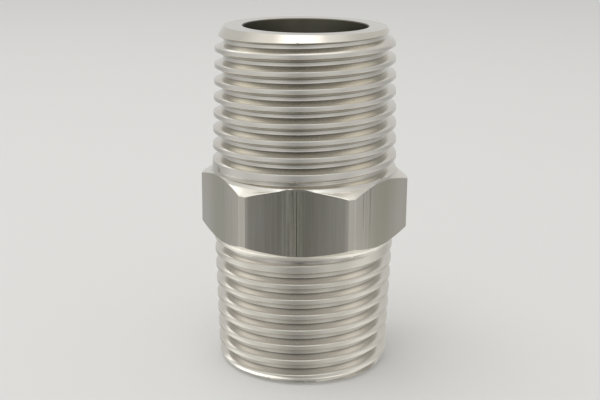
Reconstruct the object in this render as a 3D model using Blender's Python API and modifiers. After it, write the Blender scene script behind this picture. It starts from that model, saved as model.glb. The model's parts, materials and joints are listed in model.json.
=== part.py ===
"""Hex nipple: a short pipe fitting turned from hexagon bar, with a male taper thread on each end.

The fitting is one piece of stainless steel. It is built in the order a lathe makes it: a length of
hexagon bar is turned to an outline, bored through, and then each spigot is threaded with one helical
groove that runs in from the end and lifts out of the metal beside the hexagon.

Units are metres. +Z runs along the bore, the origin is the middle of the overall length, and the
hexagon's flats face -Y and +Y.
"""

import math
from dataclasses import dataclass

import bpy
from mathutils import Matrix

MM = 0.001

# The thread: a right-hand taper pipe thread of 14 turns to the inch with 55 degree flanks.
PITCH = 25.4 / 14 * MM
TAPER = 1 / 32
FLANK_ANGLE = math.radians(27.5)
THREAD_DEPTH = 0.97 * MM
ROOT_WIDTH = 0.36 * MM
RUN_OUT_TURNS = 0.6

# The hexagon left at full bar size between the two spigots.
ACROSS_FLATS = 21.0 * MM
HEX_HEIGHT = 7.4 * MM
CORNER_FLAT = 0.83 * MM
HEX_CHAMFER_ANGLE = math.radians(30)
HEX_CHAMFER_DIAMETER = 20.9 * MM

# The turning tool's nose leaves this radius where each spigot runs into the hexagon's chamfer.
FOOT_RADIUS = 0.5 * MM
FOOT_POINTS = 5

# The bore that runs right through.
BORE_DIAMETER = 14.0 * MM
EDGE_BREAK = 0.1 * MM

# The cone on each spigot's end leans this far from the axis.
END_CHAMFER_ANGLE = math.radians(30)

# Straight edges to a full turn, both in the round faces and along the thread.
STEPS = 48
STEP_ANGLE = math.tau / STEPS

# How far a cutter reaches past the metal that it cuts.
CUTTER_REACH = 0.25 * MM
CUTTER_END_REACH = 1.0 * MM

# Points closer than this on a turned profile's axis are made one.
MERGE_DISTANCE = 0.001 * MM

# From the middle of one of the hexagon's flats round to its corner.
HALF_FLAT_ANGLE = math.pi / 6


@dataclass
class Spigot:
    """One threaded end. side is +1 for the upper end and -1 for the lower one."""

    side: int
    length: float
    end_diameter: float  # over the crests, if they ran on to the end face unchamfered
    chamfer_length: float
    groove_end_step: int  # where round the hexagon the groove lifts out, in steps from +X
    groove_end_gap: float  # from the hexagon's face to the middle of the groove there


UPPER = Spigot(
    side=1,
    length=16.3 * MM,
    end_diameter=20.06 * MM,
    chamfer_length=1.7 * MM,
    groove_end_step=-21,
    groove_end_gap=0.22 * MM,
)
LOWER = Spigot(
    side=-1,
    length=15.4 * MM,
    end_diameter=19.78 * MM,
    chamfer_length=1.0 * MM,
    groove_end_step=-5,
    groove_end_gap=0.52 * MM,
)

HALF_LENGTH = (UPPER.length + HEX_HEIGHT + LOWER.length) / 2
UPPER_FACE_Z = HALF_LENGTH - UPPER.length
LOWER_FACE_Z = LOWER.length - HALF_LENGTH

STEEL_COLOUR = (0.52, 0.51, 0.48, 1.0)
STEEL_ROUGHNESS = 0.3
SHARP_ANGLE = math.radians(20)


def clear_scene():
    """Removes whatever the scene starts with."""
    for obj in list(bpy.data.objects):
        bpy.data.objects.remove(obj)


def new_collection(name):
    """A collection in the scene."""
    collection = bpy.data.collections.new(name)
    bpy.context.scene.collection.children.link(collection)
    return collection


def new_object(name, verts, edges, faces, collection):
    """A mesh object made from these points, edges and faces."""
    mesh = bpy.data.meshes.new(name)
    mesh.from_pydata(verts, edges, faces)
    mesh.update()
    obj = bpy.data.objects.new(name, mesh)
    collection.objects.link(obj)
    return obj


def hide_tool(obj):
    """Marks an object as a tool that shapes the part and isn't part of it."""
    obj.hide_render = True
    obj.display_type = "WIRE"


def steel():
    """Satin stainless steel."""
    material = bpy.data.materials.new("stainless_steel")
    material.use_nodes = True
    shader = material.node_tree.nodes["Principled BSDF"]
    shader.inputs["Base Color"].default_value = STEEL_COLOUR
    shader.inputs["Metallic"].default_value = 1.0
    shader.inputs["Roughness"].default_value = STEEL_ROUGHNESS
    return material


def turned(name, profile, collection):
    """A solid of revolution about Z. profile is the (radius, z) outline, from the top end to the bottom."""
    points = [(radius, 0.0, z) for radius, z in profile]
    edges = [(i, i + 1) for i in range(len(points) - 1)]
    obj = new_object(name, points, edges, [], collection)
    screw = obj.modifiers.new("turn", "SCREW")
    screw.axis = "Z"
    screw.angle = math.tau
    screw.steps = STEPS
    screw.render_steps = STEPS
    screw.use_merge_vertices = True
    screw.merge_threshold = MERGE_DISTANCE
    return obj


def cut(obj, tool, operation="DIFFERENCE"):
    """Adds a Boolean of obj with tool."""
    boolean = obj.modifiers.new(tool.name, "BOOLEAN")
    boolean.operation = operation
    boolean.solver = "EXACT"
    boolean.object = tool
    return boolean


def crest_radius(spigot, z):
    """Radius over the crests at height z: it grows along the taper from the end face."""
    from_end = HALF_LENGTH - spigot.side * z
    return spigot.end_diameter / 2 + TAPER * from_end


def hexagon_corner_radius():
    """From the axis to one of the bar's corners, before they are flattened."""
    return ACROSS_FLATS / 2 / math.cos(HALF_FLAT_ANGLE)


def hexagon_chamfer_z(spigot, face_z, radius):
    """Height of the hexagon's chamfer cone at this radius, on the side that faces spigot."""
    drop = (radius - HEX_CHAMFER_DIAMETER / 2) * math.tan(HEX_CHAMFER_ANGLE)
    return face_z - spigot.side * drop


def foot_arc(spigot, face_z):
    """(radius, z) along the fillet that joins a spigot to the hexagon's chamfer, from the spigot outward."""
    spigot_radius = crest_radius(spigot, face_z)
    turn = math.pi / 2 - HEX_CHAMFER_ANGLE
    rise = spigot.side * FOOT_RADIUS * math.tan(turn / 2)
    middle_radius = spigot_radius + FOOT_RADIUS
    middle_z = hexagon_chamfer_z(spigot, face_z, spigot_radius) + rise
    arc = []
    for i in range(FOOT_POINTS):
        angle = turn * i / (FOOT_POINTS - 1)
        radius = middle_radius - FOOT_RADIUS * math.cos(angle)
        z = middle_z - spigot.side * FOOT_RADIUS * math.sin(angle)
        arc.append((radius, z))
    return arc


def spigot_profile(spigot, face_z):
    """(radius, z) of a spigot's outside and the hexagon's chamfer behind it, from the end face inward."""
    end_z = spigot.side * HALF_LENGTH
    chamfer_z = end_z - spigot.side * spigot.chamfer_length
    chamfer_radius = crest_radius(spigot, chamfer_z)
    end_radius = chamfer_radius - spigot.chamfer_length * math.tan(END_CHAMFER_ANGLE)
    profile = [(end_radius, end_z), (chamfer_radius, chamfer_z)]
    profile += foot_arc(spigot, face_z)
    outer_radius = hexagon_corner_radius() + CUTTER_REACH
    profile.append((outer_radius, hexagon_chamfer_z(spigot, face_z, outer_radius)))
    return profile


def hexagon_bar(collection):
    """The bar stock: a hexagonal prism with its six long corners slightly flattened."""
    bpy.ops.mesh.primitive_cylinder_add(
        vertices=6,
        radius=hexagon_corner_radius(),
        depth=2 * HALF_LENGTH,
        rotation=(0.0, 0.0, HALF_FLAT_ANGLE),
    )
    bar = bpy.context.active_object
    bar.name = "nipple_body"
    bar.data.name = "nipple_body"
    bar.data.transform(bar.matrix_world)
    bar.matrix_world = Matrix.Identity(4)
    for owner in list(bar.users_collection):
        owner.objects.unlink(bar)
    collection.objects.link(bar)
    bevel = bar.modifiers.new("corners", "BEVEL")
    bevel.limit_method = "WEIGHT"
    bevel.offset_type = "WIDTH"
    bevel.width = CORNER_FLAT
    bevel.segments = 1
    weights = bar.data.attributes.new("bevel_weight_edge", "FLOAT", "EDGE")
    for edge in bar.data.edges:
        low, high = (bar.data.vertices[i].co for i in edge.vertices)
        weights.data[edge.index].value = float(abs(high.z - low.z) > HALF_LENGTH)
    return bar


def turned_outline(collection):
    """Everything inside the path of the turning tool: both spigots and the hexagon's two chamfers."""
    profile = [(0.0, HALF_LENGTH)]
    profile += spigot_profile(UPPER, UPPER_FACE_Z)
    profile += reversed(spigot_profile(LOWER, LOWER_FACE_Z))
    profile += [(0.0, -HALF_LENGTH)]
    outline = turned("turned_outline", profile, collection)
    hide_tool(outline)
    return outline


def bore_cutter(collection):
    """The drill, with a small 45 degree edge break at each mouth."""
    radius = BORE_DIAMETER / 2
    reach = EDGE_BREAK + CUTTER_REACH
    mouth_z = HALF_LENGTH + CUTTER_REACH
    profile = [
        (0.0, mouth_z),
        (radius + reach, mouth_z),
        (radius, HALF_LENGTH - EDGE_BREAK),
        (radius, EDGE_BREAK - HALF_LENGTH),
        (radius + reach, -mouth_z),
        (0.0, -mouth_z),
    ]
    cutter = turned("bore_cutter", profile, collection)
    hide_tool(cutter)
    return cutter


def groove_section(spigot, face_z, step):
    """The cutter's four corners, step steps along the groove from where it lifts out of the metal."""
    turns = step / STEPS
    angle = (spigot.groove_end_step + spigot.side * step) * STEP_ANGLE
    middle_z = face_z + spigot.side * (spigot.groove_end_gap + turns * PITCH)
    crest = crest_radius(spigot, middle_z)
    depth = THREAD_DEPTH * math.sin(math.pi / 2 * min(1.0, turns / RUN_OUT_TURNS))
    root = crest - depth
    outer = crest + CUTTER_REACH
    outer_half_width = ROOT_WIDTH / 2 + (outer - root) * math.tan(FLANK_ANGLE)
    corners = [
        (root, -ROOT_WIDTH / 2),
        (root, ROOT_WIDTH / 2),
        (outer, outer_half_width),
        (outer, -outer_half_width),
    ]
    return [
        (radius * math.cos(angle), radius * math.sin(angle), middle_z + offset)
        for radius, offset in corners
    ]


def groove_cutter(name, spigot, face_z, collection):
    """A helical bar that cuts the thread.

    No modifier makes a helix whose depth changes along it, so its faces are set here.
    """
    run = spigot.length - spigot.groove_end_gap + CUTTER_END_REACH
    steps = math.ceil(run / PITCH * STEPS)
    sections = [groove_section(spigot, face_z, step) for step in range(steps + 1)]
    corners = len(sections[0])
    faces = []
    for step in range(steps):
        here = corners * step
        for i in range(corners):
            j = (i + 1) % corners
            faces.append((here + i, here + j, here + corners + j, here + corners + i))
    first_cap = range(corners)
    faces.append(tuple(reversed(first_cap)))
    faces.append(tuple(corners * steps + i for i in first_cap))
    # Going down the lower spigot turns the sections the other way, and so the faces inside out.
    if spigot.side < 0:
        faces = [tuple(reversed(face)) for face in faces]
    verts = [point for section in sections for point in section]
    cutter = new_object(name, verts, [], faces, collection)
    hide_tool(cutter)
    return cutter


def bake(obj):
    """Turns obj's modifiers into its mesh, shaded smooth with a hard edge at every corner of the profile."""
    bpy.context.view_layer.update()
    evaluated = obj.evaluated_get(bpy.context.evaluated_depsgraph_get())
    mesh = bpy.data.meshes.new_from_object(evaluated)
    obj.modifiers.clear()
    obj.data = mesh
    mesh.name = obj.name
    mesh.shade_smooth()
    mesh.set_sharp_from_angle(angle=SHARP_ANGLE)


def build():
    """Makes the fitting from a length of hexagon bar."""
    clear_scene()
    parts = new_collection("hex_nipple")
    tools = new_collection("cutters")
    body = hexagon_bar(parts)
    cut(body, turned_outline(tools), "INTERSECT")
    cut(body, bore_cutter(tools))
    cut(body, groove_cutter("upper_groove_cutter", UPPER, UPPER_FACE_Z, tools))
    cut(body, groove_cutter("lower_groove_cutter", LOWER, LOWER_FACE_Z, tools))
    bake(body)
    body.data.materials.clear()
    body.data.materials.append(steel())


build()
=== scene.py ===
"""The looks of the hex nipple: its fine surface, its steel, and a plain studio round it.

The fitting is one machined piece, so one fine mesh stands for the CAD solid. Its outside is a set of
radii over angle and height: helical rows follow each thread, so that every crest and root is a clean
line, and level rows cover the hexagon. Lengths are in metres, in the CAD model's own frame.
"""

import json
import math
from dataclasses import dataclass

import bmesh
import bpy
import numpy as np
from mathutils import Matrix, Vector

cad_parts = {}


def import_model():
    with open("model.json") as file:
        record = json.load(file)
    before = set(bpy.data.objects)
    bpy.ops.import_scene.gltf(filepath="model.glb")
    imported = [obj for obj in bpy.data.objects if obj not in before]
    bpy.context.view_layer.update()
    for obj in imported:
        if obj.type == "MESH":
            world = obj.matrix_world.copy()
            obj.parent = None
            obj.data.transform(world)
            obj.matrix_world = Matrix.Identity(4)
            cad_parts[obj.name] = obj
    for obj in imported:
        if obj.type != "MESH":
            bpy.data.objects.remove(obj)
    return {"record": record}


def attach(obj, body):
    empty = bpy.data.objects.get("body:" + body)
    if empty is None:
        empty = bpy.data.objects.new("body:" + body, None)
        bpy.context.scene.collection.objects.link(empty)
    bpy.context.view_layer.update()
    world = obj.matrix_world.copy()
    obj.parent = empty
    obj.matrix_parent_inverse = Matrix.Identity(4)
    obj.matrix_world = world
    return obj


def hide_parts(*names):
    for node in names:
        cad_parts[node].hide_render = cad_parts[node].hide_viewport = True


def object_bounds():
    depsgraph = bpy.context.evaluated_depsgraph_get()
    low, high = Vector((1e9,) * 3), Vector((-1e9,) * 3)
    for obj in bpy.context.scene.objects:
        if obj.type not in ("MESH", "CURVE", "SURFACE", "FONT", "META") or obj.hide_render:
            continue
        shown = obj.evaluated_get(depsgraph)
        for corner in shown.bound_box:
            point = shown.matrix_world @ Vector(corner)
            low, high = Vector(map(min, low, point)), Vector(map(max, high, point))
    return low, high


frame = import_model()
CAD_LOW, CAD_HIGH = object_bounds()

MM = 0.001
NODE = "nipple_body"

# Sizes read from the CAD model.
MOUNTS = {mount["name"]: Vector(mount["pos_m"]) for mount in frame["record"]["mounts"]}
HALF_LENGTH = CAD_HIGH.z
HALF_FLATS = CAD_HIGH.y
STRIP_RADIUS = CAD_HIGH.x
HEX_MIDDLE_Z = MOUNTS["wrench_flat_front"].z

# The hexagon and its two turned chamfers.
HEX_HEIGHT = 7.4 * MM
HEX_CHAMFER_RADIUS = 10.45 * MM
HEX_CHAMFER_ANGLE = math.radians(30)
FOOT_RADIUS = 0.5 * MM
EDGE_ROUND = 0.07 * MM

# The bore and the edge break at its mouths.
BORE_RADIUS = 7.0 * MM
EDGE_BREAK = 0.1 * MM

# The thread's form.
PITCH = 25.4 / 14 * MM
TAPER = 1 / 32
FLANK_ANGLE = math.radians(27.5)
THREAD_DEPTH = 0.97 * MM
ROOT_WIDTH = 0.36 * MM
ROOT_ROUND = 0.03 * MM
CREST_ROUND = 0.05 * MM
RUN_OUT_TURNS = 0.6
END_CHAMFER_ANGLE = math.radians(30)

# How finely the surface is divided.
ANGLE_STEP = math.radians(2)
STRIP_EDGE_ANGLE = math.radians(2)
ROUND_ANGLE = math.radians(0.2)
ROOT_POINTS = 3
FLANK_POINTS = 4
CREST_ARC_POINTS = 3
CREST_POINTS = 3
PITCHES_INSIDE = 3  # the rows start this far inward of the groove, and fold on to its inner edge
CONE_ROWS = 6
ARC_ROWS = 4
FLAT_ROWS = 8
FLAT_END_SHARE = 0.006
FACE_ROWS = 6
BORE_ROWS = 30
WELD = 0.002 * MM
SHORTEST_EDGE = WELD / 10
SHARP_ANGLE = math.radians(28)


@dataclass
class Spigot:
    """One threaded end. side is +1 for the upper end and -1 for the lower one."""

    side: int
    end_radius: float  # over the crests, if they ran on to the end face unchamfered
    chamfer_length: float
    groove_end_angle: float  # where the groove lifts out beside the hexagon
    groove_end_gap: float  # from the hexagon's face to the middle of the groove there

    @property
    def face_z(self):
        """Height of the hexagon's face on this side."""
        return HEX_MIDDLE_Z + self.side * HEX_HEIGHT / 2

    @property
    def length(self):
        """From the hexagon's face to the end face."""
        return HALF_LENGTH - self.side * self.face_z


UPPER = Spigot(
    side=1,
    end_radius=10.03 * MM,
    chamfer_length=1.7 * MM,
    groove_end_angle=math.radians(-157.5),
    groove_end_gap=0.22 * MM,
)
LOWER = Spigot(
    side=-1,
    end_radius=9.89 * MM,
    chamfer_length=1.0 * MM,
    groove_end_angle=math.radians(-37.5),
    groove_end_gap=0.52 * MM,
)


# ---------------------------------------------------------------- surface


def grid_angles():
    """Angles round the axis: even steps, with two more beside each edge of the six corner strips."""
    angles = list(np.arange(0, math.tau - ANGLE_STEP / 2, ANGLE_STEP))
    for corner in range(6):
        for side in (-1, 1):
            edge = corner * math.pi / 3 + side * STRIP_EDGE_ANGLE
            angles += [(edge - ROUND_ANGLE) % math.tau, (edge + ROUND_ANGLE) % math.tau]
    return np.array(sorted(angles))


def rounded_min(a, b, width):
    """The smaller of two radii, with the corner where they cross rounded over this width."""
    overlap = np.maximum(width - np.abs(a - b), 0) / width
    return np.minimum(a, b) - overlap**2 * width / 4


def bar_radius(angle):
    """Radius of the hexagon bar, whose corners are narrow flat strips."""
    from_corner = np.abs((angle + math.pi / 6) % (math.pi / 3) - math.pi / 6)
    flat = HALF_FLATS / np.cos(math.pi / 6 - from_corner)
    strip = STRIP_RADIUS / np.cos(from_corner)
    return rounded_min(flat, strip, EDGE_ROUND / 2)


def cone_radius(out):
    """Radius of the hexagon's chamfer, out being the distance outward from the hexagon's face."""
    return HEX_CHAMFER_RADIUS - out / math.tan(HEX_CHAMFER_ANGLE)


def crest_radius(spigot, out):
    """Radius over the crests, at this distance outward from the hexagon's face."""
    return spigot.end_radius + TAPER * (spigot.length - out)


def foot_ends(spigot):
    """Distances outward from the hexagon's face to both ends of the fillet at the spigot's foot."""
    junction = (HEX_CHAMFER_RADIUS - crest_radius(spigot, 0)) * math.tan(HEX_CHAMFER_ANGLE)
    turn = math.pi / 2 - HEX_CHAMFER_ANGLE
    top = junction + FOOT_RADIUS * math.tan(turn / 2)
    return top, top - FOOT_RADIUS * math.sin(turn)


def outline_radius(spigot, out):
    """Radius of the turned outline before it is threaded: spigot, fillet and hexagon's chamfer."""
    top, low = foot_ends(spigot)
    below = np.clip((top - out) / FOOT_RADIUS, 0, 1)
    fillet = crest_radius(spigot, 0) + FOOT_RADIUS * (1 - np.sqrt(1 - below**2))
    foot = np.where(out > low, fillet, cone_radius(out))
    return np.where(out > top, crest_radius(spigot, out), foot)


def groove_depth(turns):
    """Depth of the groove this many turns after it starts to lift into the metal."""
    share = np.clip(turns / RUN_OUT_TURNS, 0, 1)
    return THREAD_DEPTH * np.sin(math.pi / 2 * share)


def half_section(depth):
    """(offset, cut) of half a groove, from the middle of its root out to the middle of the crest."""
    full_turn = math.pi / 2 - FLANK_ANGLE
    scale = depth / THREAD_DEPTH
    root, crest = ROOT_ROUND * scale, CREST_ROUND * scale
    root_flat = ROOT_WIDTH / 2 - root * math.tan(full_turn / 2)
    crest_start = ROOT_WIDTH / 2 + depth * math.tan(FLANK_ANGLE) + crest * math.tan(full_turn / 2)
    zero = np.zeros_like(depth)
    points = [(zero, depth)]
    for turn in np.linspace(0, full_turn, ROOT_POINTS):
        points.append((root_flat + root * math.sin(turn), depth - root * (1 - math.cos(turn))))
    low = points[-1]
    high = (crest_start - crest * math.sin(full_turn), crest * (1 - math.cos(full_turn)))
    for share in np.linspace(0, 1, FLANK_POINTS)[1:]:
        points.append(tuple(a + (b - a) * share for a, b in zip(low, high)))
    for turn in np.linspace(full_turn, 0, CREST_ARC_POINTS)[1:]:
        points.append((crest_start - crest * math.sin(turn), crest * (1 - math.cos(turn))))
    for share in np.linspace(0, 1, CREST_POINTS + 1)[1:]:
        points.append((crest_start + (PITCH / 2 - crest_start) * share, zero))
    return points


def groove_section(depth):
    """(offsets, cuts) across one pitch, from the middle of one crest up to just before the next."""
    half = half_section(depth)
    inner = [(-offset, cut) for offset, cut in reversed(half)]
    points = inner + half[1:-1]
    return np.stack([p[0] for p in points], -1), np.stack([p[1] for p in points], -1)


def snap_to_crease(out, thread, envelope):
    """Moves the nearer point on to each place where the thread's surface crosses the envelope's."""
    gap = thread - envelope
    crossing = gap[:, :-1] * gap[:, 1:] < 0
    share = gap[:, :-1] / np.where(crossing, gap[:, :-1] - gap[:, 1:], 1)
    for row, col in zip(*np.nonzero(crossing)):
        part = share[row, col]
        nearer = col if part < 0.5 else col + 1
        for values in (out, thread, envelope):
            a, b = values[row, col], values[row, col + 1]
            values[row, nearer] = a + (b - a) * part


def spigot_rows(spigot, angles):
    """out and radius of a spigot's surface, as [angle, row], and how many rows one pitch holds.

    angles runs the way the thread climbs outward. The rows are helical: one turn on, a row has
    become the row one pitch further out.
    """
    first_turn = spigot.side * (angles - spigot.groove_end_angle) / math.tau
    first_turn = first_turn - math.floor(first_turn[0])
    pitches = PITCHES_INSIDE + math.ceil(spigot.length / PITCH) + 1
    turns = first_turn[:, None] + np.arange(pitches)[None, :] - PITCHES_INSIDE
    offsets, cuts = groove_section(groove_depth(turns))
    middle = spigot.groove_end_gap + turns * PITCH
    out = (middle[:, :, None] + offsets).reshape(len(angles), -1)
    thread = outline_radius(spigot, out) - cuts.reshape(len(angles), -1)
    return out, thread, offsets.shape[2]


def envelope_radius(spigot, angles, out):
    """The smaller of the end chamfer's cone and the hexagon bar."""
    chamfer_out = spigot.length - spigot.chamfer_length
    cone = crest_radius(spigot, chamfer_out) - (out - chamfer_out) * math.tan(END_CHAMFER_ANGLE)
    return np.minimum(cone, bar_radius(angles)[:, None])


def on_end_chamfer(spigot, out):
    """Whether points lie in the stretch that the end chamfer takes up."""
    return out > spigot.length - spigot.chamfer_length


def first_out_below(out, thread, limit, start):
    """For one angle, where the thread's surface first comes inside limit, going outward from start."""
    if np.interp(start, out, thread) < limit:
        return start
    past = np.nonzero((out > start) & (thread < limit))[0][0]
    share = (thread[past - 1] - limit) / (thread[past - 1] - thread[past])
    return max(start, out[past - 1] + share * (out[past] - out[past - 1]))


def point_grid(radius, angles, z):
    """Points from radii, angles and heights that broadcast together."""
    radius, angles, z = np.broadcast_arrays(radius, angles, z)
    return np.stack([radius * np.cos(angles), radius * np.sin(angles), z], -1)


# The materials' places in the mesh's list, and the name of each point's share of the groove's depth.
THREADED, FLATS, FACED, BORED = range(4)
DEPTH_SHARE = "depth_share"


class Surface:
    """Collects grids of points into one mesh."""

    def __init__(self):
        self.points = []
        self.faces = []
        self.materials = []
        self.depths = []

    def add_grid(self, points, material, shift=0, depth=None):
        """Adds quads over points[angle, row], joined all round.

        material is one index, or one for each point, of which a face takes its corners' lowest.
        shift is how many rows on a full turn leads. depth is each point's share of the groove's depth.
        """
        start = sum(len(block) for block in self.points)
        turns, rows = points.shape[:2]
        self.depths.append(np.zeros(turns * rows) if depth is None else depth.reshape(-1))
        index = start + np.arange(turns * rows).reshape(turns, rows)
        kinds = np.broadcast_to(material, (turns, rows)).reshape(-1)
        blocks = [(index[:-1], index[1:])]
        blocks.append((index[-1:, : rows - shift], index[:1, shift:]))
        for here, there in blocks:
            quads = np.stack([here[:, :-1], there[:, :-1], there[:, 1:], here[:, 1:]], -1)
            quads = quads.reshape(-1, 4)
            self.faces += quads.tolist()
            self.materials += kinds[quads - start].min(axis=1).tolist()
        self.points.append(points.reshape(-1, 3))

    def to_object(self, name):
        """One welded, closed mesh object with its faces pointing out."""
        mesh = bpy.data.meshes.new(name)
        mesh.from_pydata(np.concatenate(self.points).tolist(), [], self.faces)
        mesh.polygons.foreach_set("material_index", self.materials)
        attribute = mesh.attributes.new(DEPTH_SHARE, "FLOAT", "POINT")
        attribute.data.foreach_set("value", np.concatenate(self.depths).astype(np.float32))
        work = bmesh.new()
        work.from_mesh(mesh)
        bmesh.ops.remove_doubles(work, verts=work.verts, dist=WELD)
        bmesh.ops.dissolve_degenerate(work, edges=work.edges, dist=SHORTEST_EDGE)
        bmesh.ops.recalc_face_normals(work, faces=work.faces)
        work.to_mesh(mesh)
        work.free()
        mesh.shade_smooth()
        mesh.set_sharp_from_angle(angle=SHARP_ANGLE)
        obj = bpy.data.objects.new(name, mesh)
        bpy.context.scene.collection.objects.link(obj)
        return obj


def add_spigot(surface, spigot, angles):
    """Adds a spigot's thread and end face.

    Returns (out, radius) of the thread's inner edge, at each angle.
    """
    climbing = angles if spigot.side > 0 else angles[::-1]
    out, thread, pitch_rows = spigot_rows(spigot, climbing)
    envelope = envelope_radius(spigot, climbing, out)
    bar = bar_radius(climbing)
    start = foot_ends(spigot)[1]
    edge_out = np.array([first_out_below(o, t, b, start) for o, t, b in zip(out, thread, bar)])
    snap_to_crease(out, thread, envelope)
    radius = np.minimum(thread, envelope)
    kinds = np.where(radius > bar[:, None] - WELD, FLATS, THREADED)
    kinds = np.where(on_end_chamfer(spigot, out) & (envelope < thread + WELD), FACED, kinds)
    edge = np.array([np.interp(e, o, r) for e, o, r in zip(edge_out, out, radius)])
    tip = np.array([np.interp(spigot.length, o, r) for o, r in zip(out, radius)])
    inside = out < edge_out[:, None]
    beyond = out > spigot.length
    radius = np.where(inside, edge[:, None], np.where(beyond, tip[:, None], radius))
    out = np.clip(out, edge_out[:, None], spigot.length)
    z = spigot.face_z + spigot.side * out
    depth = np.maximum(crest_radius(spigot, out) - radius, 0) / THREAD_DEPTH
    depth = np.where(on_end_chamfer(spigot, out), depth * (thread <= envelope), depth)
    surface.add_grid(point_grid(radius, climbing[:, None], z), kinds, pitch_rows, depth)

    mouth = BORE_RADIUS + EDGE_BREAK
    shares = np.linspace(0, 1, FACE_ROWS)
    rings = tip[:, None] + (mouth - tip[:, None]) * shares
    end_z = spigot.side * HALF_LENGTH
    surface.add_grid(point_grid(rings, climbing[:, None], end_z), FACED)
    order = slice(None) if spigot.side > 0 else slice(None, None, -1)
    return edge_out[order], edge[order]


def chamfer_rows(spigot, angles, edge_out, edge):
    """(out, radius) of the hexagon's chamfer as [angle, row], from the spigot's foot to the flats."""
    bar = bar_radius(angles)
    slope = math.tan(HEX_CHAMFER_ANGLE)
    arc_out = np.minimum((HEX_CHAMFER_RADIUS - bar) * slope, edge_out)
    # The arc's edge is rounded, by less where the chamfer is narrow.
    chamfer_width = bar - cone_radius(foot_ends(spigot)[1])
    width = np.clip(chamfer_width, WELD, EDGE_ROUND)
    round_out = np.minimum(arc_out + width * slope, edge_out)
    down = np.linspace(0, 1, CONE_ROWS)
    across = np.linspace(1, -1, ARC_ROWS + 1)[1:]
    above = edge_out[:, None] + (round_out - edge_out)[:, None] * down
    near = np.minimum(arc_out[:, None] + (width * slope)[:, None] * across, round_out[:, None])
    out = np.concatenate([above, near], 1)
    radius = rounded_min(outline_radius(spigot, out), bar[:, None], width[:, None])
    radius[:, 0] = edge
    return out, radius


def add_hexagon(surface, angles, edges):
    """Adds the hexagon's two chamfers and its flats."""
    borders = []
    for spigot in (UPPER, LOWER):
        edge_out, edge = edges[spigot.side]
        out, radius = chamfer_rows(spigot, angles, edge_out, edge)
        z = spigot.face_z + spigot.side * out
        surface.add_grid(point_grid(radius, angles[:, None], z), FACED)
        borders.append((z[:, -1:], radius[:, -1:]))
    (top_z, top_radius), (low_z, low_radius) = borders
    # A row close to each end keeps the edges' rounding out of the flats' shading.
    shares = np.concatenate([[0], np.linspace(FLAT_END_SHARE, 1 - FLAT_END_SHARE, FLAT_ROWS), [1]])
    z = top_z + (low_z - top_z) * shares
    radius = np.tile(bar_radius(angles)[:, None], (1, len(shares)))
    radius[:, :1] = top_radius
    radius[:, -1:] = low_radius
    surface.add_grid(point_grid(radius, angles[:, None], z), FLATS)


def add_bore(surface, angles):
    """Adds the bore's wall and the edge break at each mouth."""
    wall_end = HALF_LENGTH - EDGE_BREAK
    wall = np.linspace(wall_end, -wall_end, BORE_ROWS)
    z = np.concatenate([[HALF_LENGTH], wall, [-HALF_LENGTH]])
    radius = np.full(len(z), BORE_RADIUS)
    radius[[0, -1]] += EDGE_BREAK
    surface.add_grid(point_grid(radius[None, :], angles[:, None], z[None, :]), BORED)


def nipple_surface():
    """The whole fitting as one closed mesh."""
    surface = Surface()
    angles = grid_angles()
    edges = {spigot.side: add_spigot(surface, spigot, angles) for spigot in (UPPER, LOWER)}
    add_hexagon(surface, angles, edges)
    add_bore(surface, angles)
    return surface.to_object("nipple_steel")


# ---------------------------------------------------------------- materials


# A ramp rises from nothing to all of its effect, or falls from all of it to nothing.
RISE = (0.0, 1.0)
FALL = (1.0, 0.0)


class Nodes:
    """Short calls for building a node tree."""

    def __init__(self, tree):
        self.tree = tree

    def add(self, kind, **settings):
        """A node of this kind, with these properties set."""
        node = self.tree.nodes.new(kind)
        for name, value in settings.items():
            setattr(node, name, value)
        return node

    def put(self, socket, value):
        """Sets a socket to a number or colour, or links it to another node's output."""
        if isinstance(value, bpy.types.NodeSocket):
            self.tree.links.new(value, socket)
        else:
            socket.default_value = value

    def maths(self, operation, a, b=0.0, c=0.0):
        """One Math node."""
        node = self.add("ShaderNodeMath", operation=operation)
        for socket, value in zip(node.inputs, (a, b, c)):
            self.put(socket, value)
        return node.outputs[0]

    def combine(self, x, y, z):
        """A vector from three values."""
        node = self.add("ShaderNodeCombineXYZ")
        for socket, value in zip(node.inputs, (x, y, z)):
            self.put(socket, value)
        return node.outputs[0]

    def noise(self, vector, scale, detail=2.0, roughness=0.5, w=0.0):
        """Noise from about 0 to 1 at these coordinates."""
        node = self.add("ShaderNodeTexNoise", noise_dimensions="4D")
        self.put(node.inputs["Vector"], vector)
        self.put(node.inputs["W"], w)
        self.put(node.inputs["Scale"], scale)
        self.put(node.inputs["Detail"], detail)
        self.put(node.inputs["Roughness"], roughness)
        return node.outputs["Fac"]

    def ramp(self, value, span, to=RISE):
        """value over a span, mapped smoothly on to another span."""
        node = self.add("ShaderNodeMapRange", interpolation_type="SMOOTHSTEP")
        for socket, number in zip(node.inputs, (value, *span, *to)):
            self.put(socket, number)
        return node.outputs[0]

    def blend(self, share, a, b):
        """A number between a and b."""
        return self.maths("MULTIPLY_ADD", share, b - a, a)

    def mix(self, share, a, b):
        """A colour between a and b."""
        node = self.add("ShaderNodeMix", data_type="RGBA")
        self.put(node.inputs["Factor"], share)
        self.put(node.inputs["A"], a)
        self.put(node.inputs["B"], b)
        return node.outputs["Result"]

    def from_axis(self, x, y):
        """Distance from the Z axis."""
        squares = self.maths("ADD", self.maths("MULTIPLY", x, x), self.maths("MULTIPLY", y, y))
        return self.maths("SQRT", squares)

    def position(self):
        """(vector, x, y, z) of the shaded point, in millimetres."""
        coordinates = self.add("ShaderNodeTexCoord").outputs["Object"]
        scaled = self.add("ShaderNodeVectorMath", operation="SCALE")
        self.put(scaled.inputs[0], coordinates)
        scaled.inputs["Scale"].default_value = 1 / MM
        split = self.add("ShaderNodeSeparateXYZ")
        self.put(split.inputs[0], scaled.outputs[0])
        return (scaled.outputs[0], *split.outputs)


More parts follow.
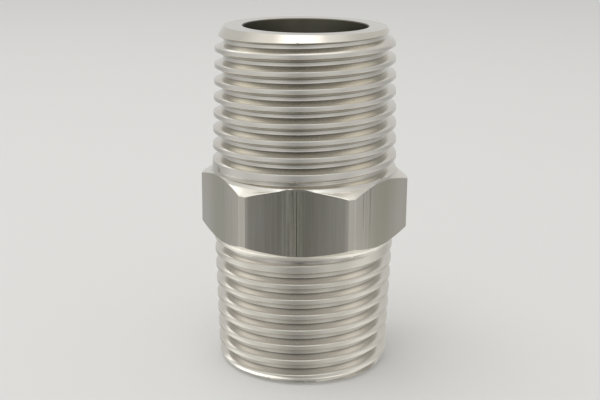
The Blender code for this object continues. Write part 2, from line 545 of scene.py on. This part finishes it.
# The steel's colours, in linear light. Lengths in the materials are in millimetres.
STEEL = (0.69, 0.665, 0.60, 1.0)
STEEL_WARM = (0.68, 0.642, 0.57, 1.0)
STEEL_COOL = (0.67, 0.657, 0.61, 1.0)
CREST_SHEEN_AND_STREAK_STEEL = (0.72, 0.70, 0.645, 1.0)  # painted highlight: the upper thread's crests and roots, painted lighter than the steel; also the colour of the light streaks on the flats
LOWER_PAINTED_LIGHT_STEEL = (0.765, 0.734, 0.657, 1.0)  # painted light: the lower thread's crests and roots, and the lower chamfers, painted lighter
LOWER_FLANK = (0.67, 0.638, 0.58, 1.0)
UNDERSIDE_HIGHLIGHT_STEEL = (0.93, 0.905, 0.85, 1.0)  # painted highlight on the flanks that face down
CORNER_SHADE_AND_STREAK_STEEL = (0.30, 0.29, 0.26, 1.0)  # painted shade on the flanks beside each root, and the dark streaks on the flats
# painted shade round each wrench flat's middle line
FLAT_MIDDLE_SHADE = (0.475, 0.468, 0.37, 1.0)
# painted shade: the bore's wall is painted dark in these two colours; the darker one also colours the
# deep line down the front flat
BORE_SHADE_STEEL = (0.19, 0.181, 0.140, 1.0)
BORE_SHADE_DARK = (0.12, 0.114, 0.086, 1.0)

QUARTER_TURN = 0.25


def steel_shader(nodes, colour, roughness, height, anisotropy=0.0):
    """Connects a metallic Principled shader, with a bump from a height in millimetres.

    anisotropy spreads reflections across the lines that turning leaves round the axis.
    """
    shader = nodes.tree.nodes["Principled BSDF"]
    nodes.put(shader.inputs["Base Color"], colour)
    nodes.put(shader.inputs["Roughness"], roughness)
    shader.inputs["Metallic"].default_value = 1.0
    bump = nodes.add("ShaderNodeBump")
    bump.inputs["Strength"].default_value = 1.0
    bump.inputs["Distance"].default_value = MM
    nodes.put(bump.inputs["Height"], height)
    nodes.put(shader.inputs["Normal"], bump.outputs[0])
    nodes.put(shader.inputs["Anisotropic"], anisotropy)
    shader.inputs["Anisotropic Rotation"].default_value = QUARTER_TURN
    tangent = nodes.add("ShaderNodeTangent", direction_type="RADIAL", axis="Z")
    nodes.put(shader.inputs["Tangent"], tangent.outputs[0])


def new_material(name):
    """An empty node material and the calls to build it."""
    material = bpy.data.materials.new(name)
    material.use_nodes = True
    return material, Nodes(material.node_tree)


# Noise cells to a millimetre in the steel's drift of colour, and the noise values that it spans.
WARM_DRIFT = 0.22
WARM_SPAN = (0.35, 0.65)
COOL_DRIFT = 0.13
COOL_SPAN = (0.45, 0.75)
MOST_COOL = 0.7


def tinted(nodes, point):
    """The steel's colour, drifting a little between warm and cool from place to place."""
    warm = nodes.noise(point, WARM_DRIFT, detail=3.0)
    colour = nodes.mix(nodes.ramp(warm, WARM_SPAN), STEEL_WARM, STEEL)
    cool = nodes.noise(point, COOL_DRIFT, detail=1.0)
    return nodes.mix(nodes.ramp(cool, COOL_SPAN, (0.0, MOST_COOL)), colour, STEEL_COOL)


# Noise cells round one pitch's circle, over two pi, and the height of the lines they make.
HELIX_LINES = 5.0
HELIX_HEIGHT = 0.003
# How fast the lines change from place to place, in noise cells to a millimetre.
HELIX_CHANGE = 0.12


def helix_lines(nodes, x, y, z, angle):
    """Fine lines that run along the thread, as the threading tool leaves them."""
    climb = nodes.maths("MULTIPLY", z, math.tau * MM / PITCH)
    phase = nodes.maths("SUBTRACT", climb, angle)
    across = nodes.maths("MULTIPLY", nodes.maths("COSINE", phase), HELIX_LINES)
    along = nodes.maths("MULTIPLY", nodes.maths("SINE", phase), HELIX_LINES)
    slow_x = nodes.maths("MULTIPLY", x, HELIX_CHANGE)
    slow_y = nodes.maths("MULTIPLY", y, HELIX_CHANGE)
    return nodes.noise(nodes.combine(across, along, slow_x), 1.0, detail=2.0, w=slow_y)


# The threading tool's chatter marks: how many to a turn, how deep, and where: in patches of this
# many noise cells to a millimetre, over these noise values, and below this much of the groove.
CHATTER_MARKS = 190.0
CHATTER_HEIGHT = 0.0025
CHATTER_PATCHES = 0.35
CHATTER_SPAN = (0.55, 0.68)
CHATTER_DEPTHS = (0.05, 0.3)


def chatter(nodes, point, angle, depth):
    """Short marks across the thread, in patches, where the tool chattered."""
    wave = nodes.maths("SINE", nodes.maths("MULTIPLY", angle, CHATTER_MARKS))
    patches = nodes.ramp(nodes.noise(point, CHATTER_PATCHES, detail=1.0), CHATTER_SPAN)
    flank = nodes.ramp(depth, CHATTER_DEPTHS)
    return nodes.maths("MULTIPLY", nodes.maths("MULTIPLY", wave, patches), flank)


# Painted light: the steel is painted brighter over these heights downwards, on the threads and on the
# chamfers.
LOWER_THREAD_LIGHT_SPAN = (-2.6, -3.6)
LOWER_CHAMFERS_LIGHT_SPAN = (6.0, 5.0)

# Spans of the groove's depth, as shares of it: past its crest, beside its root, where shade is
# painted, and at its root.
CREST_ENDS = (0.02, 0.12)
CORNER_SHADE_SPAN = (0.70, 0.95)
ROOT_STARTS = (0.975, 0.995)
# The painted shade in the flanks' corners is strongest within the first of these distances to each
# side.
CORNER_SHADE_SIDES = (2.0, 8.0)
CORNER_SHADE_SHARES = (0.95, 0.2)
# The flanks that face down, by their normal's z, and how far their painted highlight colour covers
# them, on the upper and on the lower thread.
FACES_DOWN = (-0.3, -0.7)
UPPER_UNDERSIDE_HIGHLIGHT = 0.1
LOWER_UNDERSIDE_HIGHLIGHT = 0.85
CREST_ROUGHNESS = 0.32
FLANK_ROUGHNESS = 0.16
CREST_ANISOTROPY = 0.65
FLANK_ANISOTROPY = 0.45
ROUGHNESS_DRIFT = 0.05
ROUGHNESS_PATCHES = 0.6


def flank_share(nodes, depth):
    """1 on a thread's flanks, and 0 on its crests and roots."""
    off_crest = nodes.ramp(depth, CREST_ENDS)
    off_root = nodes.ramp(depth, ROOT_STARTS, FALL)
    return nodes.maths("MULTIPLY", off_crest, off_root)


def flank_colour(nodes, point, x, depth, lower):
    """The flanks' colour: painted shade beside the roots, and a painted highlight where they face
    down.
    """
    colour = nodes.mix(lower, tinted(nodes, point), LOWER_FLANK)
    # Painted shade: the flanks are painted darker beside each root.
    corner_shade_share = nodes.ramp(nodes.maths("ABSOLUTE", x), CORNER_SHADE_SIDES, CORNER_SHADE_SHARES)
    corner = nodes.maths("MULTIPLY", nodes.ramp(depth, CORNER_SHADE_SPAN), corner_shade_share)
    colour = nodes.mix(corner, colour, CORNER_SHADE_AND_STREAK_STEEL)
    # Painted highlight: flanks that face down are painted lighter.
    normal = nodes.add("ShaderNodeSeparateXYZ")
    nodes.put(normal.inputs[0], nodes.add("ShaderNodeNewGeometry").outputs["Normal"])
    facing_down_highlight = nodes.ramp(normal.outputs["Z"], FACES_DOWN)
    underside_highlight_share = nodes.blend(lower, UPPER_UNDERSIDE_HIGHLIGHT, LOWER_UNDERSIDE_HIGHLIGHT)
    underside_highlight = nodes.maths("MULTIPLY", facing_down_highlight, underside_highlight_share)
    return nodes.mix(underside_highlight, colour, UNDERSIDE_HIGHLIGHT_STEEL)


def threaded_steel():
    """The threads: fine lines along the crests and roots, and smoother flanks with chatter marks.
    Their colour holds painted light and shade: painted highlights on the crests, the roots and the
    flanks that face down, a lighter lower end, and painted shade beside the roots.
    """
    material, nodes = new_material("threaded_steel")
    point, x, y, z = nodes.position()
    angle = nodes.maths("ARCTAN2", y, x)
    depth = nodes.add("ShaderNodeAttribute", attribute_name=DEPTH_SHARE).outputs["Fac"]
    flank = flank_share(nodes, depth)
    lines = nodes.maths("MULTIPLY", helix_lines(nodes, x, y, z, angle), HELIX_HEIGHT)
    marks = chatter(nodes, point, angle, depth)
    height = nodes.maths("MULTIPLY_ADD", marks, CHATTER_HEIGHT, lines)
    roughness = nodes.blend(flank, CREST_ROUGHNESS, FLANK_ROUGHNESS)
    patches = nodes.noise(point, ROUGHNESS_PATCHES, detail=3.0)
    roughness = nodes.maths("MULTIPLY_ADD", patches, ROUGHNESS_DRIFT, roughness)
    anisotropy = nodes.blend(flank, CREST_ANISOTROPY, FLANK_ANISOTROPY)
    # Painted light: the lower end's crests and roots are painted lighter.
    lower = nodes.ramp(z, LOWER_THREAD_LIGHT_SPAN)
    # Painted highlight: the crests and roots are painted lighter than the plain steel.
    crest_sheen_colour = nodes.mix(lower, CREST_SHEEN_AND_STREAK_STEEL, LOWER_PAINTED_LIGHT_STEEL)
    colour = nodes.mix(flank, crest_sheen_colour, flank_colour(nodes, point, x, depth, lower))
    steel_shader(nodes, colour, roughness, height, anisotropy)
    return material


@dataclass
class StreakBand:
    """A band of streaks along one wrench flat, placed across the flat from its middle line."""

    flat_angle: float  # the direction that the flat faces, in degrees
    place: float
    spread: float
    strength: float


FRONT_FLAT = -90
STREAK_BANDS = (
    StreakBand(FRONT_FLAT, -0.5, 1.7, 1.0),
    StreakBand(-30, -3.2, 1.8, 0.8),
    StreakBand(-150, 2.5, 2.5, 0.3),
    StreakBand(30, 1.2, 2.0, 0.6),
    StreakBand(90, -1.4, 1.6, 0.8),
    StreakBand(150, 0.4, 2.4, 0.4),
)
BAND_CORE = 0.2  # a band is at its full strength within this distance of its middle
FAINT_BAND = 0.08  # the strength of the streaks between the bands
STREAK_HEIGHT = 0.03
STREAKS = 3.5  # noise cells to a millimetre across the flat
STREAK_STRETCH = 0.02  # and this share of them along it
# The streaks' noise values where the steel is lighter or darker, and how far its colour changes.
LIGHT_STREAK_SPAN = (0.50, 0.62)
MOST_LIGHT = 0.6
DARK_STREAK_SPAN = (0.36, 0.48)
MOST_DARK = 0.8
# The noise values over which the streaks go from smooth to rough, and how rough they are.
ROUGH_STREAK_SPAN = (0.3, 0.7)
FLAT_ROUGHNESS = (0.20, 0.26)

# Each wrench flat is crowned: this much lower, for each square mm from its middle line. It is
# painted darker round its middle line, as painted shade, over this span of distances.
FLAT_CROWN = 0.0036
FLAT_MIDDLE_SHADE_SPAN = (0.5, 5.0)
MOST_MIDDLE_SHADE = 0.7
# A flat's streaks fade out over this distance before its edges.
FLAT_EDGE_FADE = 0.2
# One deeper line down the front flat, at this distance across it, with these half widths.
LINE_PLACE = 0.02
LINE_DEPTH = 0.02
LINE_HALF_WIDTHS = (0.03, 0.09)


def on_flat(nodes, x, y, flat_angle):
    """(share, across): whether a point is on the flat that faces this way, and where across it."""
    direction = math.radians(flat_angle)
    cosine, sine = math.cos(direction), math.sin(direction)
    facing = nodes.maths("MULTIPLY_ADD", y, sine, nodes.maths("MULTIPLY", x, cosine))
    across = nodes.maths("MULTIPLY_ADD", y, cosine, nodes.maths("MULTIPLY", x, -sine))
    edge = STRIP_RADIUS / MM * math.sin(math.pi / 6 - STRIP_EDGE_ANGLE)
    share = nodes.ramp(nodes.maths("ABSOLUTE", across), (edge - FLAT_EDGE_FADE, edge), FALL)
    return nodes.maths("MULTIPLY", share, nodes.maths("GREATER_THAN", facing, 0.0)), across


def from_middle_line(nodes, x, y):
    """Distance from the middle line of the nearest flat."""
    wrapped = nodes.maths("FLOORED_MODULO", nodes.maths("ARCTAN2", y, x), math.pi / 3)
    turned = nodes.maths("SUBTRACT", wrapped, math.pi / 6)
    across = nodes.maths("MULTIPLY", nodes.maths("SINE", turned), nodes.from_axis(x, y))
    return nodes.maths("ABSOLUTE", across)


def streak_strength(nodes, x, y):
    """How strong the streaks are at a point, from the bands and the faint streaks between them."""
    strength = FAINT_BAND
    for band in STREAK_BANDS:
        share, across = on_flat(nodes, x, y, band.flat_angle)
        from_band = nodes.maths("ABSOLUTE", nodes.maths("SUBTRACT", across, band.place))
        within = nodes.ramp(from_band, (BAND_CORE, band.spread), (band.strength, 0.0))
        strength = nodes.maths("MULTIPLY_ADD", share, within, strength)
    return strength


def front_line(nodes, x, y):
    """1 on the deep line down the front flat, and 0 elsewhere."""
    share, across = on_flat(nodes, x, y, FRONT_FLAT)
    from_line = nodes.maths("ABSOLUTE", nodes.maths("SUBTRACT", across, LINE_PLACE))
    return nodes.maths("MULTIPLY", nodes.ramp(from_line, LINE_HALF_WIDTHS, FALL), share)


def drawn_steel():
    """The bar's drawn skin on the wrench flats: smooth, with bands of streaks, one deep line, and
    painted shade round each flat's middle line.
    """
    material, nodes = new_material("drawn_steel")
    point, x, y, z = nodes.position()
    stretched = nodes.combine(x, y, nodes.maths("MULTIPLY", z, STREAK_STRETCH))
    streaks = nodes.noise(stretched, STREAKS, detail=4.0, roughness=0.7)
    strength = streak_strength(nodes, x, y)
    line = front_line(nodes, x, y)
    from_middle = from_middle_line(nodes, x, y)
    squared = nodes.maths("MULTIPLY", from_middle, from_middle)
    height = nodes.maths("MULTIPLY", squared, -FLAT_CROWN)
    streaked = nodes.maths("MULTIPLY", streaks, strength)
    height = nodes.maths("MULTIPLY_ADD", streaked, STREAK_HEIGHT, height)
    height = nodes.maths("MULTIPLY_ADD", line, -LINE_DEPTH, height)
    roughness = nodes.ramp(streaks, ROUGH_STREAK_SPAN, FLAT_ROUGHNESS)
    # Painted shade: each flat is painted darker round its middle line.
    middle = nodes.ramp(from_middle, FLAT_MIDDLE_SHADE_SPAN, (MOST_MIDDLE_SHADE, 0.0))
    colour = nodes.mix(middle, tinted(nodes, point), FLAT_MIDDLE_SHADE)
    light = nodes.ramp(streaks, LIGHT_STREAK_SPAN, (0.0, MOST_LIGHT))
    colour = nodes.mix(nodes.maths("MULTIPLY", light, strength), colour, CREST_SHEEN_AND_STREAK_STEEL)
    dark = nodes.ramp(streaks, DARK_STREAK_SPAN, (MOST_DARK, 0.0))
    colour = nodes.mix(nodes.maths("MULTIPLY", dark, strength), colour, CORNER_SHADE_AND_STREAK_STEEL)
    # The deep line takes the dark colour of the bore's painted shade.
    colour = nodes.mix(line, colour, BORE_SHADE_DARK)
    steel_shader(nodes, colour, roughness, height)
    return material


# The turning tool's rings: noise cells to a millimetre, and the height of what they make.
FACE_RINGS = 9.0
FACE_RING_HEIGHT = 0.003
FACE_ROUGHNESS = 0.20
BORE_RINGS = 5.0
BORE_RING_HEIGHT = 0.012
BORE_ROUGHNESS = 0.45
BORE_PATCHES = 0.4
RING_ANISOTROPY = 0.4


def faced_steel():
    """The end faces and every chamfer: rings left by the turning tool, and painted light that makes
    the lower chamfers lighter.
    """
    material, nodes = new_material("faced_steel")
    point, x, y, z = nodes.position()
    outward = nodes.combine(nodes.from_axis(x, y), 0.0, 0.0)
    rings = nodes.noise(outward, FACE_RINGS, detail=2.0)
    height = nodes.maths("MULTIPLY", rings, FACE_RING_HEIGHT)
    # Painted light: the lower chamfers are painted lighter.
    lower = nodes.ramp(z, LOWER_CHAMFERS_LIGHT_SPAN)
    colour = nodes.mix(lower, tinted(nodes, point), LOWER_PAINTED_LIGHT_STEEL)
    steel_shader(nodes, colour, FACE_ROUGHNESS, height, RING_ANISOTROPY)
    return material


def bored_steel_shaded():
    """The bore's wall: coarser rings, duller than the outside, and painted darker as painted shade."""
    material, nodes = new_material("bored_steel_shaded")
    point, _, _, z = nodes.position()
    rings = nodes.noise(nodes.combine(0.0, 0.0, z), BORE_RINGS, detail=3.0)
    height = nodes.maths("MULTIPLY", rings, BORE_RING_HEIGHT)
    patches = nodes.noise(point, BORE_PATCHES, detail=2.0)
    # Painted shade: the bore's wall is painted dark, in patches between two dark levels.
    colour = nodes.mix(patches, BORE_SHADE_DARK, BORE_SHADE_STEEL)
    steel_shader(nodes, colour, BORE_ROUGHNESS, height, RING_ANISOTROPY)
    return material


# ---------------------------------------------------------------- studio


FLOOR_Z = -HALF_LENGTH
FLOOR_RADIUS = 4.0
FLOOR_SIDES = 96
FLOOR_COLOUR = (0.80, 0.795, 0.78, 1.0)
FLOOR_ROUGHNESS = 0.8
FLOOR_SHINE = 0.1

# The one lamp: its sides, its place, aimed at the fitting's middle, and its power in watts.
LAMP_SIDES = (0.5, 0.4)
LAMP_PLACE = (-0.1, -0.05, 0.55)
LAMP_WATTS = 1.2


def floor():
    """A plain pale floor, out to where the camera can't see its edge."""
    bpy.ops.mesh.primitive_circle_add(vertices=FLOOR_SIDES, radius=FLOOR_RADIUS, fill_type="NGON")
    ground = bpy.context.active_object
    ground.name = "floor"
    ground.location.z = FLOOR_Z
    material, _ = new_material("pale_floor")
    shader = material.node_tree.nodes["Principled BSDF"]
    shader.inputs["Base Color"].default_value = FLOOR_COLOUR
    shader.inputs["Roughness"].default_value = FLOOR_ROUGHNESS
    shader.inputs["Specular IOR Level"].default_value = FLOOR_SHINE
    ground.data.materials.append(material)
    # The steel sees the studio's own lower half instead, which the world shapes below.
    ground.visible_glossy = False


def top_light():
    """A large lamp overhead, for the floor's soft shadow. The steel doesn't reflect it."""
    light = bpy.data.lights.new("top_light", "AREA")
    light.shape = "RECTANGLE"
    light.size, light.size_y = LAMP_SIDES
    light.energy = LAMP_WATTS
    lamp = bpy.data.objects.new("top_light", light)
    bpy.context.scene.collection.objects.link(lamp)
    lamp.location = LAMP_PLACE
    lamp.rotation_mode = "QUATERNION"
    lamp.rotation_quaternion = (-Vector(LAMP_PLACE)).to_track_quat("-Z", "Y")
    lamp.visible_glossy = False


@dataclass
class Panel:
    """A soft-edged light, or with a negative amount a dark flag, that the steel reflects.

    It is full within full_angle of its direction, and gone past edge_angle, both in degrees.
    """

    direction: tuple
    full_angle: float
    edge_angle: float
    amount: float


# What the steel reflects: x to the right, y away from the camera, z up.
HORIZON_SPAN = (-0.08, 0.10)
LEVELS = (0.66, 0.70)  # below the horizon and above it
PANELS = (
    Panel((-0.05, -0.71, 0.70), 10, 34, 0.85),  # the key light, above the camera
    Panel((-0.10, -0.50, 0.60), 30, 72, 0.36),  # the wide fill round it
    Panel((0.08, 0.28, 0.955), 8, 22, 0.70),  # overhead
    Panel((-0.40, 0.41, 0.80), 9, 12, 0.45),  # two softboxes, high on the left behind
    Panel((-0.46, 0.63, 0.62), 9, 13, 1.05),
    Panel((0.38, 0.69, 0.61), 6, 16, 0.08),  # a weak one on the right
    Panel((-0.80, 0.58, -0.22), 8, 30, -0.19),  # the room, behind on the left
    Panel((0.86, 0.46, -0.22), 8, 34, -0.21),  # and on the right
    Panel((-0.87, -0.42, -0.27), 6, 16, -0.10),  # and beside the camera
    Panel((0.80, -0.54, -0.27), 6, 16, -0.14),
    Panel((-0.08, -1.0, 0.06), 6, 22, -0.31),  # the camera
    Panel((-0.05, -0.975, -0.22), 8, 42, -0.31),  # the dark room below it
    Panel((-0.08, -0.96, -0.28), 1, 10, -0.18),  # its darkest part
    Panel((0.10, -0.95, -0.27), 3, 12, 0.07),  # and a lighter one to the right
    Panel((0.0, -0.50, -0.86), 20, 45, -0.14),  # the table's edge
    Panel((-0.58, 0.18, -0.79), 16, 36, 0.90),  # the pale table on the left
    Panel((0.58, 0.18, -0.79), 16, 38, 0.70),  # and on the right
)
# The studio's even level, which lights the floor and is what the camera sees past it.
AMBIENT_LEVEL = 0.62
AMBIENT_COLOUR = (1.0, 0.998, 0.99, 1.0)


def world():
    """The studio: even for the floor and the camera, and shaped by the panels for the steel."""
    studio_world = bpy.data.worlds.new("studio")
    studio_world.use_nodes = True
    nodes = Nodes(studio_world.node_tree)
    direction = nodes.add("ShaderNodeTexCoord").outputs["Generated"]
    split = nodes.add("ShaderNodeSeparateXYZ")
    nodes.put(split.inputs[0], direction)
    level = nodes.ramp(split.outputs["Z"], HORIZON_SPAN, LEVELS)
    for panel in PANELS:
        dot = nodes.add("ShaderNodeVectorMath", operation="DOT_PRODUCT")
        nodes.put(dot.inputs[0], direction)
        dot.inputs[1].default_value = Vector(panel.direction).normalized()
        edge = math.cos(math.radians(panel.edge_angle))
        full = math.cos(math.radians(panel.full_angle))
        amount = nodes.ramp(dot.outputs["Value"], (edge, full), (0.0, panel.amount))
        level = nodes.maths("ADD", level, amount)
    glossy = nodes.add("ShaderNodeLightPath").outputs["Is Glossy Ray"]
    shaped = nodes.maths("MULTIPLY", nodes.maths("SUBTRACT", level, AMBIENT_LEVEL), glossy)
    background = studio_world.node_tree.nodes["Background"]
    nodes.put(background.inputs["Strength"], nodes.maths("ADD", shaped, AMBIENT_LEVEL))
    background.inputs["Color"].default_value = AMBIENT_COLOUR
    bpy.context.scene.world = studio_world


def studio():
    """Floor, world and lamp."""
    floor()
    world()
    top_light()


# The camera. Its distance from the axis and its height are from the middle of the hexagon. Its
# azimuth is to the right of the front flat, and its turn is on from looking at the axis.
CAMERA_DISTANCE = 121.52 * MM
CAMERA_HEIGHT = 33.96 * MM
CAMERA_AZIMUTH = math.radians(4.213)
CAMERA_TURN = math.radians(0.214)
CAMERA_PITCH = math.radians(15.704)
CAMERA_ROLL = math.radians(0.487)
CAMERA_LENS = 65.17
SENSOR_WIDTH = 36.0
NEAREST_SEEN = 5 * MM


def camera():
    """The camera, above the fitting's top and looking down on it from the front."""
    data = bpy.data.cameras.new("camera")
    data.lens = CAMERA_LENS
    data.sensor_width = SENSOR_WIDTH
    data.clip_start = NEAREST_SEEN
    viewer = bpy.data.objects.new("camera", data)
    bpy.context.scene.collection.objects.link(viewer)
    aim = Matrix.Rotation(CAMERA_AZIMUTH + CAMERA_TURN, 4, "Z")
    aim @= Matrix.Rotation(math.pi / 2 - CAMERA_PITCH, 4, "X")
    aim @= Matrix.Rotation(CAMERA_ROLL, 4, "Z")
    place = Vector((0.0, -CAMERA_DISTANCE, HEX_MIDDLE_Z + CAMERA_HEIGHT))
    place.rotate(Matrix.Rotation(CAMERA_AZIMUTH, 3, "Z"))
    viewer.matrix_world = Matrix.Translation(place) @ aim
    bpy.context.scene.camera = viewer


def build():
    """Makes the fitting, its steel and the studio."""
    nipple = nipple_surface()
    # In the order of THREADED, FLATS, FACED and BORED.
    for material in (threaded_steel(), drawn_steel(), faced_steel(), bored_steel_shaded()):
        nipple.data.materials.append(material)
    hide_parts(NODE)
    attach(nipple, "root")
    studio()
    camera()
    bpy.context.scene.view_settings.view_transform = "Standard"


build()
